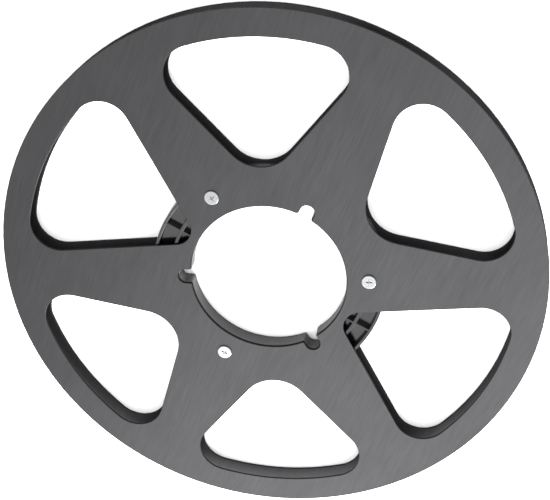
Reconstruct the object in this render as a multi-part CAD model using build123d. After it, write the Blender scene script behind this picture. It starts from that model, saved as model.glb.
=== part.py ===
from build123d import *
import math
import os

# Open-flange reel for 1/4 inch magnetic tape: two punched aluminium flanges screwed to a ribbed hub.
# Millimetres. The reel lies flat: +Z is its spin axis, the origin is the centre of its bore halfway
# between the flanges, and X runs through the middle of the two deep windows.

# Driving dimensions
REEL_RADIUS = 133.35
FLANGE_THICKNESS = 1.2
HUB_HEIGHT = 7.7
HUB_RADIUS = 57.15
SPINDLE_RADIUS = 38.1
FLANGE_BORE_RADIUS = 38.5
EDGE_BREAK = 0.2

# Flange windows: rounded triangles, straight sides fanning out from a point on the window's middle line
RIM_WIDTH = 13.2
WINDOW_CORNER_RADIUS = 14.0
DEEP_WINDOW = {"fan_point": 36.6, "half_angle": 34.8, "tip_radius": 8.4}
SHALLOW_WINDOW = {"fan_point": 49.35, "half_angle": 41.45, "tip_radius": 17.7}
DEEP_WINDOW_ANGLES = (0, 180)
SHALLOW_WINDOW_ANGLES = (60, 120, 240, 300)

# Three round-ended key slots that open into the bore
SLOT_ANGLES = (30, 150, 270)
SLOT_REACH = 44.4
SLOT_WIDTH = 6.7
FLANGE_SLOT_MARGIN = 0.4
SLOT_MOUTH_ROUNDING = 0.8

# Hub moulding: walls and ribs stand on both sides of a solid middle web
POCKET_DEPTH = 3.3
OUTER_WALL = 1.5
BORE_WALL = 2.1
SLOT_WALL = 1.8
RING_RIB_RADIUS = 47.65
RING_RIB_WIDTH = 1.7
RADIAL_RIB_WIDTH = 0.9
RADIAL_RIB_COUNT = 12
POST_RADIUS = 5.0

# Fasteners: screws from both faces meet in a threaded brass insert through each hub post
SCREW_ANGLES = (90, 210, 330)
SCREW_CIRCLE_RADIUS = 49.05
HEAD_RADIUS = 3.5
HEAD_HEIGHT = 0.6
HEAD_ROUNDING = 0.3
SHANK_RADIUS = 1.75
SHANK_LENGTH = 4.4
SHANK_POINT = 0.35
SCREW_HOLE_RADIUS = 2.1
RECESS_RADIUS = 1.6
RECESS_TIP_RADIUS = 0.4
RECESS_DEPTH = 1.2
RECESS_WING_WIDTH = 0.65
INSERT_RADIUS = 3.0
INSERT_BORE_RADIUS = 1.8
INSERT_GROOVE_RADIUS = 2.6
INSERT_GROOVE_WIDTH = 2.0

# Worked out from the driving dimensions
WINDOW_RADIUS = REEL_RADIUS - RIM_WIDTH
FACE_Z = HUB_HEIGHT / 2 + FLANGE_THICKNESS


def around(angle, shape):
    """The shape turned about the spin axis."""
    return Rot(0, 0, angle) * shape


def window(angle, fan_point, half_angle, tip_radius):
    """One flange window, with its tip towards the hub and its outer side along the rim."""
    reach = 2 * WINDOW_RADIUS
    half_width = reach * math.tan(math.radians(half_angle))
    tip = (fan_point, 0)
    fan = Polygon(tip, (fan_point + reach, -half_width), (fan_point + reach, half_width), align=None)
    outline = fan & Circle(WINDOW_RADIUS)
    outline = fillet(outline.vertices().sort_by(Axis.X)[1:], WINDOW_CORNER_RADIUS)
    outline = fillet(outline.vertices().sort_by(Axis.X)[0], tip_radius)
    return around(angle, outline)


def slot(angle, margin):
    """One key slot, larger by a margin on its end and both sides, from inside the bore outwards."""
    width = SLOT_WIDTH + 2 * margin
    end_centre = SLOT_REACH + margin - width / 2
    straight = Pos(end_centre / 2, 0) * Rectangle(end_centre, width)
    return around(angle, straight + Pos(end_centre, 0) * Circle(width / 2))


def slotted_ring(outer_radius, bore_radius, margin):
    """A flat ring with the key slots cut into its bore, and the mouths of the slots rounded."""
    ring = Circle(outer_radius) - Circle(bore_radius)
    for angle in SLOT_ANGLES:
        ring -= slot(angle, margin)
    mouths = []
    for corner in ring.vertices():
        if abs(math.hypot(corner.X, corner.Y) - bore_radius) < 0.01:
            mouths.append(corner)
    return fillet(mouths, SLOT_MOUTH_ROUNDING)


def on_screw_circle(angle, shape):
    """The shape moved out to a screw's place."""
    return Rot(0, 0, angle) * Pos(SCREW_CIRCLE_RADIUS, 0, 0) * shape


def flange(side):
    """A punched flange; side is +1 for the front and -1 for the rear."""
    outline = slotted_ring(REEL_RADIUS, FLANGE_BORE_RADIUS, FLANGE_SLOT_MARGIN)
    for angle in DEEP_WINDOW_ANGLES:
        outline -= window(angle, **DEEP_WINDOW)
    for angle in SHALLOW_WINDOW_ANGLES:
        outline -= window(angle, **SHALLOW_WINDOW)
    for angle in SCREW_ANGLES:
        outline -= on_screw_circle(angle, Circle(SCREW_HOLE_RADIUS))
    plate = extrude(outline, FLANGE_THICKNESS / 2, both=True)
    faces = plate.faces().sort_by(Axis.Z)
    plate = chamfer(faces[0].edges() + faces[-1].edges(), EDGE_BREAK)
    return Pos(0, 0, side * (FACE_Z - FLANGE_THICKNESS / 2)) * plate


def insert_body():
    """The outside of a threaded insert: a bush with a wide groove that locks it in its post."""
    core = Cylinder(INSERT_GROOVE_RADIUS, INSERT_GROOVE_WIDTH)
    groove = Cylinder(INSERT_RADIUS, INSERT_GROOVE_WIDTH) - core
    return Cylinder(INSERT_RADIUS, HUB_HEIGHT) - groove


def hub():
    """The hub moulding, with the same pockets on both sides of its web."""
    pockets = Circle(HUB_RADIUS - OUTER_WALL) - Circle(SPINDLE_RADIUS + BORE_WALL)
    ring_rib = Circle(RING_RIB_RADIUS + RING_RIB_WIDTH / 2) - Circle(RING_RIB_RADIUS - RING_RIB_WIDTH / 2)
    pockets -= ring_rib
    for index in range(RADIAL_RIB_COUNT):
        rib = Pos(HUB_RADIUS / 2, 0) * Rectangle(HUB_RADIUS, RADIAL_RIB_WIDTH)
        pockets -= around(360 * index / RADIAL_RIB_COUNT, rib)
    for angle in SLOT_ANGLES:
        pockets -= slot(angle, SLOT_WALL)
    for angle in SCREW_ANGLES:
        pockets -= on_screw_circle(angle, Circle(POST_RADIUS))
    web_top = HUB_HEIGHT / 2 - POCKET_DEPTH
    front_pockets = extrude(Pos(0, 0, web_top) * pockets, POCKET_DEPTH)
    rear_pockets = extrude(Pos(0, 0, -web_top) * pockets, -POCKET_DEPTH)

    outline = slotted_ring(HUB_RADIUS, SPINDLE_RADIUS, 0)
    body = extrude(outline, HUB_HEIGHT / 2, both=True) - front_pockets - rear_pockets
    faces = body.faces().sort_by(Axis.Z)
    body = chamfer(faces[0].edges() + faces[-1].edges(), EDGE_BREAK)
    for angle in SCREW_ANGLES:
        body -= on_screw_circle(angle, insert_body())
    return body


def screw_insert(angle):
    """A brass bush, threaded right through for a screw from each face."""
    bush = insert_body() - Cylinder(INSERT_BORE_RADIUS, HUB_HEIGHT)
    return on_screw_circle(angle, bush)


def screw(angle, side):
    """A low pan-head screw with a cross recess; its head rests on the flange's outer face."""
    head = Pos(0, 0, HEAD_HEIGHT / 2) * Cylinder(HEAD_RADIUS, HEAD_HEIGHT)
    head = fillet(head.edges().sort_by(Axis.Z)[-1], HEAD_ROUNDING)
    shank = Pos(0, 0, -SHANK_LENGTH / 2) * Cylinder(SHANK_RADIUS, SHANK_LENGTH)
    shank = chamfer(shank.edges().sort_by(Axis.Z)[0], SHANK_POINT)
    wings = Rectangle(2 * HEAD_RADIUS, RECESS_WING_WIDTH) + Rectangle(RECESS_WING_WIDTH, 2 * HEAD_RADIUS)
    cross = extrude(Pos(0, 0, HEAD_HEIGHT) * wings, -RECESS_DEPTH)
    taper = Pos(0, 0, HEAD_HEIGHT - RECESS_DEPTH / 2) * Cone(RECESS_TIP_RADIUS, RECESS_RADIUS, RECESS_DEPTH)
    body = Pos(0, 0, FACE_Z) * (head + shank - (cross & taper))
    if side < 0:
        body = Rot(180, 0, 0) * body
    return on_screw_circle(angle, body)


nodes = {
    "front_flange": flange(1),
    "rear_flange": flange(-1),
    "hub": hub(),
}
for number, screw_angle in enumerate(SCREW_ANGLES, start=1):
    nodes[f"front_screw_{number}"] = screw(screw_angle, 1)
    nodes[f"rear_screw_{number}"] = screw(screw_angle, -1)
    nodes[f"screw_insert_{number}"] = screw_insert(screw_angle)

os.makedirs("parts", exist_ok=True)
for name, shape in nodes.items():
    export_step(shape, f"parts/{name}.step")
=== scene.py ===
import math

import bpy
from mathutils import Matrix, Vector


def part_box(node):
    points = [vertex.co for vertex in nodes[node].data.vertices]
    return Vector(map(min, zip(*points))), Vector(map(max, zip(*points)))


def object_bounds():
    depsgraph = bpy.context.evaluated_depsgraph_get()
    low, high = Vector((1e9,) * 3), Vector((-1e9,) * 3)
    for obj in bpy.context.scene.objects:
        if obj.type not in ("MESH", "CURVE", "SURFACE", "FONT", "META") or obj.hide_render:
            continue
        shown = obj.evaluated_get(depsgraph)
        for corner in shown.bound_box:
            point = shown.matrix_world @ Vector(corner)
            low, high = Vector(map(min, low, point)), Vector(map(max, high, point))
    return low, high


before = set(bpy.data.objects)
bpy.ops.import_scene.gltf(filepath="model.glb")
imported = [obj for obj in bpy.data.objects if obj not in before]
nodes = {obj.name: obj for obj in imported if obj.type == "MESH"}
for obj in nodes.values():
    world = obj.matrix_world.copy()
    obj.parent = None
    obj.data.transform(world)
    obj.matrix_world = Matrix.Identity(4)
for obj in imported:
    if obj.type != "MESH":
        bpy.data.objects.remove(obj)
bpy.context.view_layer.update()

# Camera: above the near side, turned in its own plane, so that the near rim is at the top of the frame
CAMERA_PLACE = Vector((0.04644, -0.27749, 0.49192))
CAMERA_AIM = Vector((-0.00388, -0.01606, 0.0))
CAMERA_ROLL = math.radians(161.52)
LENS_MM = 75.98
SENSOR_MM = 36.0
SHIFT_X = -0.03
SHIFT_Y = 0.005
CLIP_START = 0.01
CLIP_END = 20.0

# Lights: an even white room, one strong low softbox on the far side towards -X, and two weak ones
# almost straight across from the camera
WORLD_COLOUR = (1.0, 1.0, 1.0, 1.0)
WORLD_STRENGTH = 2.2
LIGHT_DISTANCE = 1.6
LIGHT_SIZE = 0.6
SOFTBOXES = {
    "low_side_softbox": {"azimuth": 145.0, "elevation": 22.0, "power": 128.0},
    "low_back_softbox": {"azimuth": 105.0, "elevation": 22.0, "power": 16.0},
    "back_softbox": {"azimuth": 105.0, "elevation": 40.0, "power": 15.0},
}

# Brushed sheet. It was brushed in one straight direction, measured from +X. Each streak has a length and
# a width in metres, and how far it changes the shade; the last one is a cloud. The cut walls and broken
# edges weren't brushed, and they are drawn darker than the faces as painted shade.
BRUSH_ANGLE = math.radians(96.4)
STREAKS = (
    (0.010, 0.0004, 0.16),
    (0.013, 0.0009, 0.13),
    (0.026, 0.0025, 0.07),
    (0.030, 0.0200, 0.09),
)
FINE_LINES = (0.020, 0.00035)
STREAK_CELL_Z = 0.02
SHEET_COLOUR = (0.0352, 0.0348, 0.0362)
# Painted shade: how dark the cut walls and chamfers are drawn against the faces
SHEET_EDGE_PAINTED_SHADE = 0.5
SHEET_FACE_LIMITS = (0.85, 0.97)
SHEET_ROUGHNESS = (0.44, 0.58)
SHEET_ANISOTROPY = 0.5
SHEET_SPECULAR_TINT = (0.5, 0.5, 0.5, 1.0)
SHEET_BUMP = {"strength": 0.25, "distance": 0.00002}

# Black plastic. The faces are glossy, and the walls are rougher by the amount given.
PLASTIC_COLOUR = (0.003, 0.003, 0.0032)
PLASTIC_SHADE = (0.8, 1.2)
PLASTIC_FACE_LIMITS = (0.5, 0.9)
PLASTIC_ROUGHNESS = (0.10, 0.20)
PLASTIC_WALL_ROUGHNESS = 0.35
PLASTIC_GRAIN = (0.0004, 0.0004, 0.0004)
PLASTIC_FLOW = (0.008, 0.008, 0.008)
PLASTIC_SPECULAR_LEVEL = 0.6
PLASTIC_BUMP = {"strength": 0.15, "distance": 0.00003}

# Plated screws. The turning rings are counted in radians per metre of radius.
SCREW_COLOUR = (0.212, 0.216, 0.222)
SCREW_SHADE = (0.90, 1.04)
SCREW_ROUGHNESS = (0.28, 0.40)
SCREW_SPECKLE = (0.0011, 0.0011, 0.0011)
SCREW_BUMP_RINGS = 16000.0
SCREW_SHADE_RINGS = 5200.0
SCREW_SHADE_RING_CHANGE = 0.07
SCREW_BUMP = {"strength": 0.12, "distance": 0.00002}

# The cross recess: how far out it reaches, the depth below the head's top where its lightening is
# complete, and how much lighter it is drawn, because light bounces in it more than once
RECESS_REACH = 0.0018
RECESS_FADE = 0.0003
RECESS_LIFT = 0.8

# Turned brass inserts
BRASS_COLOUR = (0.72, 0.50, 0.22)
BRASS_SHADE = (0.9, 1.08)
BRASS_ROUGHNESS = (0.22, 0.36)
BRASS_LINES = (0.02, 0.02, 0.00025)
BRASS_BUMP = {"strength": 0.2, "distance": 0.00002}

# Floor
FLOOR_SIZE = 6.0
FLOOR_COLOUR = (0.92, 0.92, 0.92, 1.0)
FLOOR_ROUGHNESS = 0.9
FLOOR_SPECULAR_LEVEL = 0.1


def make_camera():
    data = bpy.data.cameras.new("camera")
    data.lens = LENS_MM
    data.sensor_width = SENSOR_MM
    data.shift_x = SHIFT_X
    data.shift_y = SHIFT_Y
    data.clip_start = CLIP_START
    data.clip_end = CLIP_END
    camera = bpy.data.objects.new("camera", data)
    bpy.context.scene.collection.objects.link(camera)
    look = (CAMERA_AIM - CAMERA_PLACE).to_track_quat("-Z", "Y")
    roll = Matrix.Rotation(-CAMERA_ROLL, 4, "Z")
    camera.matrix_world = Matrix.Translation(CAMERA_PLACE) @ look.to_matrix().to_4x4() @ roll
    bpy.context.scene.camera = camera


def softbox(name, azimuth, elevation, power):
    """A square light above the reel's plane, facing the origin."""
    data = bpy.data.lights.new(name, "AREA")
    data.shape = "SQUARE"
    data.size = LIGHT_SIZE
    data.energy = power
    light = bpy.data.objects.new(name, data)
    bpy.context.scene.collection.objects.link(light)
    turn = Matrix.Rotation(math.radians(azimuth), 4, "Z")
    tilt = Matrix.Rotation(math.radians(-elevation), 4, "Y")
    place = turn @ tilt @ Vector((LIGHT_DISTANCE, 0.0, 0.0))
    facing = (-place).to_track_quat("-Z", "Y").to_matrix().to_4x4()
    light.matrix_world = Matrix.Translation(place) @ facing


def make_lights():
    world = bpy.data.worlds.new("studio")
    world.use_nodes = True
    background = world.node_tree.nodes["Background"]
    background.inputs["Color"].default_value = WORLD_COLOUR
    background.inputs["Strength"].default_value = WORLD_STRENGTH
    bpy.context.scene.world = world
    for name, settings in SOFTBOXES.items():
        softbox(name, **settings)
    bpy.context.scene.view_settings.view_transform = "Standard"


class Nodes:
    """A small helper that adds and links nodes of one material."""

    def __init__(self, name):
        self.material = bpy.data.materials.new(name)
        self.material.use_nodes = True
        self.tree = self.material.node_tree
        self.shader = self.tree.nodes["Principled BSDF"]
        coordinates = self.add("ShaderNodeTexCoord")
        self.object_place = coordinates.outputs["Object"]
        self.object_normal = coordinates.outputs["Normal"]

    def add(self, kind, **inputs):
        node = self.tree.nodes.new(kind)
        for key, value in inputs.items():
            self.feed(node, key, value)
        return node

    def feed(self, node, key, value):
        """Links or sets one input, given by its number or by its name with underscores for spaces."""
        socket = node.inputs[key if isinstance(key, int) else key.replace("_", " ")]
        if isinstance(value, bpy.types.NodeSocket):
            self.tree.links.new(value, socket)
        else:
            socket.default_value = value

    def surface(self, **inputs):
        for key, value in inputs.items():
            self.feed(self.shader, key, value)

    def maths(self, operation, first, second=0.0):
        node = self.tree.nodes.new("ShaderNodeMath")
        node.operation = operation
        self.feed(node, 0, first)
        self.feed(node, 1, second)
        return node.outputs[0]

    def grid(self, size, turn=0.0):
        """The place on the object, counted in cells of that size in metres, turned about Z."""
        node = self.add("ShaderNodeMapping", Vector=self.object_place)
        node.vector_type = "TEXTURE"
        node.inputs["Scale"].default_value = size
        node.inputs["Rotation"].default_value = (0.0, 0.0, turn)
        return node.outputs["Vector"]

    def noise(self, place, detail=2.0):
        """Noise with one feature to a grid cell."""
        node = self.add("ShaderNodeTexNoise", Vector=place, Scale=1.0, Detail=detail)
        return node.outputs["Fac"]

    def spread(self, value, low, high):
        """A value from 0 to 1 spread over low to high."""
        node = self.add("ShaderNodeMapRange", Value=value)
        node.inputs["To Min"].default_value = low
        node.inputs["To Max"].default_value = high
        return node.outputs["Result"]

    def face_share(self, low, high):
        """1 on the flat faces, 0 on walls and chamfers, by the part of the object's own normal along Z."""
        parts = self.add("ShaderNodeSeparateXYZ", Vector=self.object_normal)
        node = self.add("ShaderNodeMapRange", Value=self.maths("ABSOLUTE", parts.outputs["Z"]))
        node.inputs["From Min"].default_value = low
        node.inputs["From Max"].default_value = high
        return node.outputs["Result"]

    def tint(self, colour, factor):
        """The colour made lighter or darker by a factor."""
        node = self.tree.nodes.new("ShaderNodeVectorMath")
        node.operation = "SCALE"
        node.inputs[0].default_value = colour
        self.feed(node, "Scale", factor)
        return node.outputs[0]

    def bump(self, height, strength, distance):
        node = self.add("ShaderNodeBump", Height=height, Strength=strength, Distance=distance)
        return node.outputs["Normal"]


def brushed_anodised_sheet():
    n = Nodes("brushed_anodised_sheet")
    shade = 1.0
    for length, width, change in STREAKS:
        streak = n.noise(n.grid((length, width, STREAK_CELL_Z), BRUSH_ANGLE))
        shade = n.maths("ADD", shade, n.spread(streak, -change, change))
    facing = n.face_share(*SHEET_FACE_LIMITS)
    face_shade = n.maths("MULTIPLY", shade, facing)
    # Painted shade: the walls and chamfers get a darker colour than the faces
    edge_painted_shade = n.maths("MULTIPLY", n.maths("SUBTRACT", 1.0, facing), SHEET_EDGE_PAINTED_SHADE)
    colour = n.tint(SHEET_COLOUR, n.maths("ADD", face_shade, edge_painted_shade))
    fine = n.noise(n.grid((*FINE_LINES, STREAK_CELL_Z), BRUSH_ANGLE), detail=3.0)
    across = n.add("ShaderNodeCombineXYZ", X=math.cos(BRUSH_ANGLE), Y=math.sin(BRUSH_ANGLE), Z=0.0)
    n.surface(Base_Color=colour, Metallic=1.0, Roughness=n.spread(fine, *SHEET_ROUGHNESS))
    n.surface(Anisotropic=SHEET_ANISOTROPY, Tangent=across.outputs[0])
    n.surface(Normal=n.bump(fine, **SHEET_BUMP), Specular_Tint=SHEET_SPECULAR_TINT)
    return n.material


def moulded_plastic():
    n = Nodes("moulded_plastic")
    grain = n.noise(n.grid(PLASTIC_GRAIN))
    flow = n.noise(n.grid(PLASTIC_FLOW), detail=3.0)
    colour = n.tint(PLASTIC_COLOUR, n.spread(flow, *PLASTIC_SHADE))
    wall = n.maths("SUBTRACT", 1.0, n.face_share(*PLASTIC_FACE_LIMITS))
    satin = n.maths("MULTIPLY", wall, PLASTIC_WALL_ROUGHNESS)
    roughness = n.maths("ADD", n.spread(flow, *PLASTIC_ROUGHNESS), satin)
    n.surface(Base_Color=colour, Roughness=roughness, Normal=n.bump(grain, **PLASTIC_BUMP))
    n.surface(Specular_IOR_Level=PLASTIC_SPECULAR_LEVEL)
    return n.material


def plated_screw(name):
    """The screw's own material, because its rings run round its own axis."""
    low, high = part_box(name)
    centre = (low + high) / 2
    top = max(abs(low.z), abs(high.z))
    n = Nodes("plated_" + name)
    offset = n.tree.nodes.new("ShaderNodeVectorMath")
    offset.operation = "SUBTRACT"
    n.feed(offset, 0, n.object_place)
    n.feed(offset, 1, (centre.x, centre.y, 0.0))
    x, y, z = n.add("ShaderNodeSeparateXYZ", Vector=offset.outputs[0]).outputs
    radius = n.maths("SQRT", n.maths("ADD", n.maths("POWER", x, 2.0), n.maths("POWER", y, 2.0)))
    bump_rings = n.maths("SINE", n.maths("MULTIPLY", radius, SCREW_BUMP_RINGS))
    shade_rings = n.maths("SINE", n.maths("MULTIPLY", radius, SCREW_SHADE_RINGS))
    swirl = n.maths("MULTIPLY", shade_rings, SCREW_SHADE_RING_CHANGE)
    depth = n.maths("DIVIDE", n.maths("SUBTRACT", top, n.maths("ABSOLUTE", z)), RECESS_FADE)
    within = n.maths("LESS_THAN", radius, RECESS_REACH)
    inside = n.maths("MULTIPLY", within, n.maths("MINIMUM", depth, 1.0))
    speckle = n.noise(n.grid(SCREW_SPECKLE), detail=3.0)
    shade = n.maths("ADD", swirl, n.spread(speckle, *SCREW_SHADE))
    shade = n.maths("ADD", shade, n.maths("MULTIPLY", inside, RECESS_LIFT))
    colour = n.tint(SCREW_COLOUR, shade)
    n.surface(Base_Color=colour, Metallic=1.0, Roughness=n.spread(speckle, *SCREW_ROUGHNESS))
    n.surface(Normal=n.bump(bump_rings, **SCREW_BUMP))
    return n.material


def turned_brass():
    n = Nodes("turned_brass")
    lines = n.noise(n.grid(BRASS_LINES))
    colour = n.tint(BRASS_COLOUR, n.spread(lines, *BRASS_SHADE))
    n.surface(Base_Color=colour, Metallic=1.0, Roughness=n.spread(lines, *BRASS_ROUGHNESS))
    n.surface(Normal=n.bump(lines, **BRASS_BUMP))
    return n.material


def paint(material, *names):
    for name in names:
        nodes[name].data.materials.clear()
        nodes[name].data.materials.append(material)


def make_floor():
    bpy.ops.mesh.primitive_plane_add(size=FLOOR_SIZE, location=(0, 0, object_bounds()[0].z))
    floor = bpy.context.object
    floor.name = "floor"
    n = Nodes("pale_floor")
    n.surface(Base_Color=FLOOR_COLOUR, Roughness=FLOOR_ROUGHNESS)
    n.surface(Specular_IOR_Level=FLOOR_SPECULAR_LEVEL)
    floor.data.materials.append(n.material)


make_camera()
make_lights()
make_floor()
paint(brushed_anodised_sheet(), "front_flange", "rear_flange")
paint(moulded_plastic(), "hub")
for name in nodes:
    if "insert" in name:
        paint(turned_brass(), name)
    elif "screw" in name:
        paint(plated_screw(name), name)
